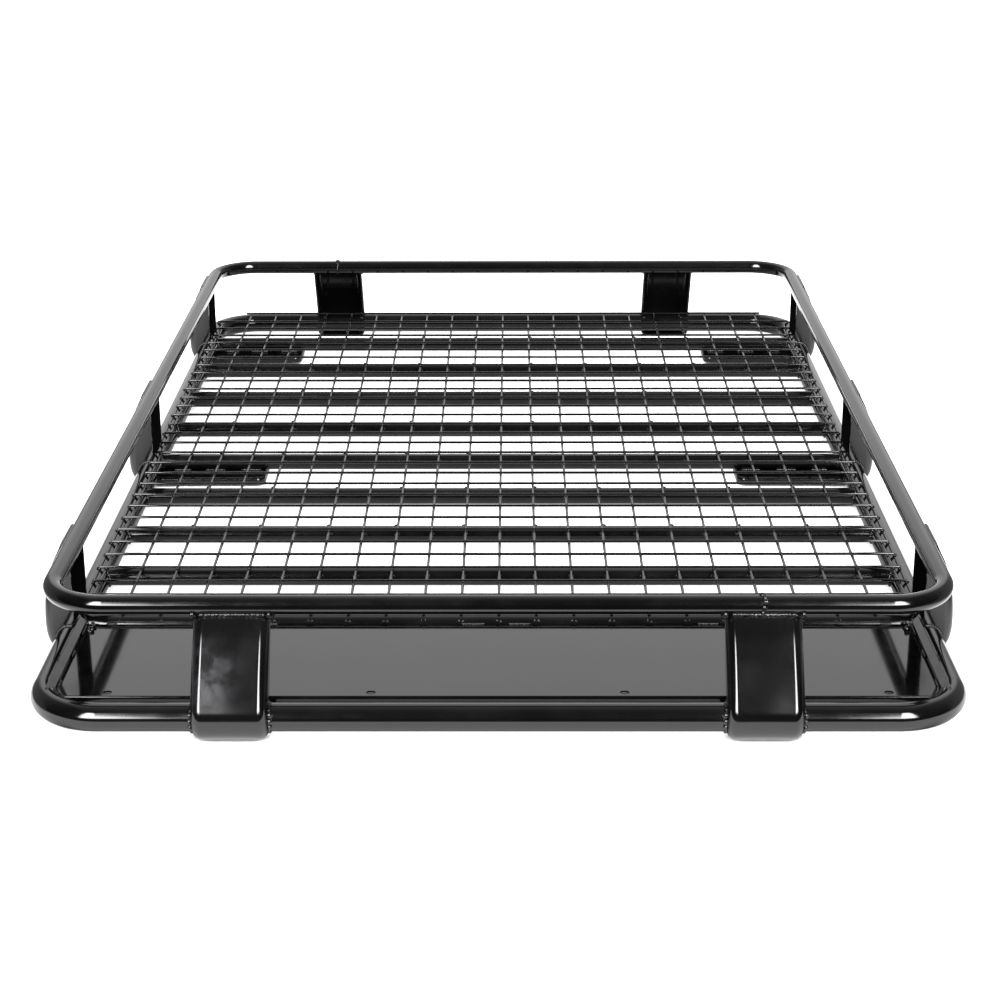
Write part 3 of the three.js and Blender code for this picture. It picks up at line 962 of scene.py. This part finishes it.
# ------------------------------------------------------------------ tacks on the mesh floor
def mesh_tacks():
    soup = Soup()
    # Every second wire is welded, on the rear shoulder of each bar but the front one.
    for bar_y in BAR_Y[:-1]:
        for x in LONG_X[::2]:
            out, back, down = spread((2.2, 3.2), (3.0, 5.0), (0.0, 0.6))
            centre = (x + (out if x > 0 else -out), bar_y + back, BAR_Z + BAR_RADIUS - down)
            blob(soup, centre, spread((2.8, 3.8), (2.8, 3.8), (1.6, 2.3)))
    # Both sides of every wire on the front crossbar, on its front shoulder.
    radius = BAR_RADIUS + 0.3
    for x in LONG_X:
        for side in (-1, 1):
            a = math.radians(rng.uniform(36, 44))
            y = BAR_Y[-1] - radius * math.cos(a)
            centre = (x + side * 2.6, y, BAR_Z + radius * math.sin(a))
            blob(soup, centre, spread((1.7, 2.3), (1.6, 2.2), (1.7, 2.2)))
    # Ends of the cross wires.
    for y in CROSS_Y[1:]:
        for side in (-1, 1):
            shift_x, shift_y = spread((-1.2, 1.2), (-1.0, 1.0))
            centre = (side * (559.0 + shift_x), y + shift_y, 43.9)
            blob(soup, centre, spread((3.0, 4.4), (2.6, 3.8), (1.4, 2.1)))
    # Crossings, except where the outermost long wires stop short.
    for i, y in enumerate(CROSS_Y):
        z = (LONG_Z + CROSS_Z) / 2 + (REAR_LIFT if i == 0 else 0)
        for x in LONG_X:
            if abs(x) == LONG_X[-1] and y > OUTER_REAR:
                continue
            blob(soup, (x, y, z), (2.5, 2.5, 1.5), seg=8, rings=4)
    weld("weld_mesh_tacks", soup, sharp=80)


mesh_tacks()

# ------------------------------------------------------------------ welds on plates and sheet
# Bead runs along X: on a plate, from its inner end; on the sheet's rear edge.
PLATE_RUNS = [(8, 42), (66, 100), (122, 150)]
SHEET_RUNS = [(-330, -292), (-50, -18), (13, 43), (262, 292), (-520, -506), (505, 520)]
# Bead runs along Y on the strips.
STRIP_INNER_RUNS = [
    (strip_hi[1] - 6, strip_hi[1] - 34),
    (strip_hi[1] - 86, strip_hi[1] - 104),
    (strip_lo[1] + 46, strip_lo[1] + 24),
]
STRIP_OUTER_RUNS = [
    (strip_hi[1] - 4, strip_hi[1] - 22),
    (strip_hi[1] - 120, strip_hi[1] - 138),
]


def plate_welds(soup):
    """Each plate to its crossbar, front and rear; the front plates only at the rear."""
    for row, plate_y in PLATE_Y.items():
        lo, hi = lo_hi("mount_plate_right_" + row)
        for sign in (-1, 1):
            for facing in (-1, 1):
                if row == "front" and facing < 0:
                    continue
                for start, end in PLATE_RUNS:
                    path = [
                        (sign * x, plate_y + facing * 8.2 + rng.uniform(-0.3, 0.3), hi[2] + 1.4)
                        for x in np.linspace(lo[0] + start, lo[0] + end, 12)
                    ]
                    bead(soup, path, 2.4)


def sheet_welds(soup):
    """The sheet's rear edge to the front crossbar."""
    for start, end in SHEET_RUNS:
        path = [
            (x, SHEET_REAR + 0.2 + rng.uniform(-0.15, 0.15), SHEET_TOP + 0.5)
            for x in np.linspace(start, end, 14)
        ]
        bead(soup, path, 2.0, pitch=2.6)


def strip_welds(soup, sign):
    # A heap of weld where crossbar, strip and sheet meet.
    for _ in range(9):
        inboard, ahead, above = spread((0, 7), (0, 26), (0.5, 4.5))
        centre = (sign * (541.5 - inboard), SHEET_REAR - ahead, SHEET_TOP + above)
        blob(soup, centre, spread((2.2, 3.6), (2.4, 4.0), (1.8, 3.0)))
    # The strip's inner edge to the sheet.
    for start, end in STRIP_INNER_RUNS:
        x, z = sign * (strip_lo[0] - 0.2), SHEET_TOP + 1.6
        bead(soup, [(x, y, z) for y in np.linspace(start, end, 10)], 2.3)
    # Along the sheet's front corner, following the bend of the rail.
    path = []
    for degrees in np.linspace(-8, -30, 14):
        x, y = on_circle(
            BASE_X - BASE_CORNER, -BASE_Y + BASE_CORNER, BASE_CORNER - BASE_RADIUS + 1.0, degrees
        )
        path.append((sign * x, y, SHEET_TOP + 0.8))
    bead(soup, path, 2.2)
    # Across the strip's front end.
    ends = zip(np.linspace(546.5, 553.5, 8), np.linspace(39.3, 44.6, 8))
    bead(soup, [(sign * x, strip_lo[1] - 0.8, z) for x, z in ends], 1.7)
    # Outboard side of the strip, down to the rail.
    for start, end in STRIP_OUTER_RUNS:
        x, z = sign * (STRIP_OUTER[0] + 1.6), STRIP_OUTER[1] - 2.4
        bead(soup, [(x, y, z) for y in np.linspace(start, end, 8)], 1.6)


stitch_soup = Soup()
plate_welds(stitch_soup)
sheet_welds(stitch_soup)
for sign in (-1, 1):
    strip_welds(stitch_soup, sign)
weld("weld_plates_and_sheet", stitch_soup)

# ------------------------------------------------------------------ studio floor (m)
FLOOR_HALF, FLOOR_DROP = 40.0, 0.0006
PAINTED_LIGHT_EDGE = -1.055  # y where the painted light on the floor ends at the front
FLOOR_GLOW = 0.62  # emission strength
FLOOR_SEEN = 1.45  # gain for floor seen by the camera
PAINTED_RACK_SHADE, PAINTED_CONTACT_SHADE = 0.64, 0.92  # painted shade: light taken off the floor under the basket and under its front
FLOOR_WHITE = (0.86, 0.86, 0.86, 1)


def floor_material():
    """Glowing floor with painted light and shade. To the camera it is pale, with painted shade where
    the basket closes it in. To other rays it is a painted pool of light round the basket, with
    painted shade beneath it.
    """
    mat = bpy.data.materials.new("studio_floor")
    shader = Shader(mat)
    place = shader.node("SeparateXYZ", {0: shader.coords["Object"]}).outputs
    y = place["Y"]
    off_side = shader.math("ABSOLUTE", place["X"])

    # Painted light in reflections: evenly bright behind the front edge, dark beyond that edge and
    # darker far out to the sides.
    painted_light_pool = shader.product(
        shader.step(y, start=PAINTED_LIGHT_EDGE - 0.02, end=PAINTED_LIGHT_EDGE + 0.03, low=0.02, high=1.0),
        shader.step(off_side, start=0.95, end=0.66, low=0.12, high=1.0),
    )
    # Painted shade driven by ambient occlusion: only floor that is almost closed in by the basket
    # above it is darkened, as the camera sees it.
    closeness = shader.node("AmbientOcclusion", {"Distance": 0.12}, samples=8)
    painted_occlusion_shade = shader.step(
        closeness.outputs["AO"], start=0.06, end=0.30, low=0.015, high=1.0
    )
    # Painted shade under the whole basket, for rays other than the camera's.
    length = shader.product(
        shader.step(y, start=0.98, end=0.86), shader.step(y, start=-0.95, end=-0.86)
    )
    rack_shade_mask = shader.product(shader.step(off_side, start=0.64, end=0.54), length)
    painted_rack_shade = shader.math("SUBTRACT", 1.0, shader.product(rack_shade_mask, PAINTED_RACK_SHADE))
    camera_painted_level = shader.product(painted_occlusion_shade, FLOOR_SEEN)
    # Painted shade under the basket's front, for rays other than the camera's.
    length = shader.product(
        shader.step(y, start=-0.58, end=-0.66), shader.step(y, start=-0.925, end=-0.895)
    )
    contact_shade_mask = shader.product(shader.step(off_side, start=0.57, end=0.52), length)
    painted_contact_shade = shader.math("SUBTRACT", 1.0, shader.product(contact_shade_mask, PAINTED_CONTACT_SHADE))
    painted_reflection_level = shader.product(painted_light_pool, painted_rack_shade, painted_contact_shade)

    camera_ray = shader.node("LightPath").outputs["Is Camera Ray"]
    level = shader.mix_float(camera_ray, painted_reflection_level, camera_painted_level)
    # Both the glow and the diffuse colour carry the painted light and shade in level.
    glow = shader.node("Emission", {0: (1, 1, 1, 1), 1: shader.product(level, FLOOR_GLOW)})
    tone = shader.mix_color(level, (0, 0, 0, 1), FLOOR_WHITE)
    matt = shader.node("BsdfDiffuse", {0: tone})
    both = shader.node("AddShader", {0: glow.outputs[0], 1: matt.outputs[0]})
    shader.node("OutputMaterial", {0: both.outputs[0]})
    return mat


def studio_floor():
    mat = floor_material()
    mesh = bpy.data.meshes.new("studio_floor")
    corners = [(x * FLOOR_HALF, y * FLOOR_HALF, 0) for x, y in ((-1, -1), (1, -1), (1, 1), (-1, 1))]
    mesh.from_pydata(corners, [], [(0, 1, 2, 3)])
    mesh.materials.append(mat)
    floor = bpy.data.objects.new("studio_floor", mesh)
    floor.location = (0, 0, -FLOOR_DROP)
    scene.collection.objects.link(floor)


studio_floor()

# ------------------------------------------------------------------ studio light
WALL_LEVEL, STRIP_LEVEL = 1.22, 26.0
# Brightness over the basket from the front horizon (0) over the ceiling to the rear (1).
SKY_STOPS = [
    (0.0, 0.02), (0.05, 0.03), (0.213, 0.07), (0.413, 0.17), (0.60, 0.36),
    (0.74, 0.62), (0.86, 0.98), (0.93, 1.0), (1.0, 1.0),
]


def studio_world():
    world = bpy.data.worlds.new("studio")
    scene.world = world
    shader = Shader(world)
    math_node = shader.math
    direction = shader.node("SeparateXYZ", {0: shader.coords["Generated"]}).outputs
    x, y, z = direction["X"], direction["Y"], direction["Z"]

    def unary(operation, value):
        """A one-input operation, its idle second input at 0."""
        return math_node(operation, value, 0)

    # Walls and ceiling, by angle about the X axis, darker towards the sides.
    squares = math_node("ADD", shader.product(y, y), shader.product(z, z))
    length = math_node("MAXIMUM", unary("SQRT", squares), 0.0001)
    rearward = math_node("DIVIDE", y, length)
    sky = shader.node("ValToRGB", {0: math_node("MULTIPLY_ADD", rearward, 0.5, 0.5)})
    ramp = sky.color_ramp
    ramp.interpolation = "EASE"
    while len(ramp.elements) < len(SKY_STOPS):
        ramp.elements.new(0.5)
    for element, (position, value) in zip(ramp.elements, SKY_STOPS):
        element.position = position
        element.color = (value, value, value, 1)
    sides = shader.step(unary("ABSOLUTE", x), start=0.28, end=0.50, low=1.0, high=0.24)
    walls = shader.product(sky.outputs[0], WALL_LEVEL, sides)

    # A tall strip light in front on each side, its inner edge leaning outward with height.
    azimuth = math_node("ARCTAN2", unary("ABSOLUTE", x), shader.product(y, -1.0))
    elevation = unary("ARCSINE", z)
    reach = math_node("SUBTRACT", unary("ABSOLUTE", x), shader.product(z, 0.07))
    inner_edge = shader.step(reach, start=0.138, end=0.162)
    degrees = math.radians
    outer_edge = shader.step(azimuth, start=degrees(30), end=degrees(38), low=1.0, high=0.0)
    height = shader.product(
        shader.step(elevation, start=degrees(9), end=degrees(17)),
        shader.step(elevation, start=degrees(48), end=degrees(58), low=1.0, high=0.0),
    )
    strips = shader.product(inner_edge, outer_edge, height, STRIP_LEVEL)
    level = math_node("ADD", walls, strips)

    # The camera itself sees plain white.
    camera_ray = shader.node("LightPath").outputs["Is Camera Ray"]
    strength = shader.mix_float(camera_ray, level, 1.0)
    background = shader.node("Background", {0: (1, 1, 1, 1), 1: strength})
    shader.node("OutputWorld", {0: background.outputs[0]})


studio_world()

# ------------------------------------------------------------------ camera
CAMERA_PLACE = (0.0169, -3.2516, 1.1599)  # m
CAMERA_PITCH, CAMERA_YAW, CAMERA_ROLL = math.radians(19.995), -0.0053, -0.0005  # radians


def studio_camera():
    """A camera in front of the basket, looking back and down at it."""
    data = bpy.data.cameras.new("camera")
    data.sensor_width = 36.0
    data.lens = 77.37
    camera = bpy.data.objects.new("camera", data)
    cos_p, sin_p = math.cos(CAMERA_PITCH), math.sin(CAMERA_PITCH)
    cos_y, sin_y = math.cos(CAMERA_YAW), math.sin(CAMERA_YAW)
    cos_r, sin_r = math.cos(CAMERA_ROLL), math.sin(CAMERA_ROLL)
    # Rows of the product are the view's right, down and forward directions.
    pitch = np.array([[1, 0, 0], [0, -sin_p, -cos_p], [0, cos_p, -sin_p]])
    yaw = np.array([[cos_y, 0, -sin_y], [0, 1, 0], [sin_y, 0, cos_y]])
    roll = np.array([[cos_r, -sin_r, 0], [sin_r, cos_r, 0], [0, 0, 1]])
    axes = (roll @ yaw @ pitch).T * (1, -1, -1)
    rows = [(*axis, place) for axis, place in zip(axes, CAMERA_PLACE)]
    camera.matrix_world = Matrix(rows + [(0, 0, 0, 1)])
    scene.collection.objects.link(camera)
    scene.camera = camera


studio_camera()
scene.view_settings.view_transform = "Standard"
scene.view_settings.look = "None"
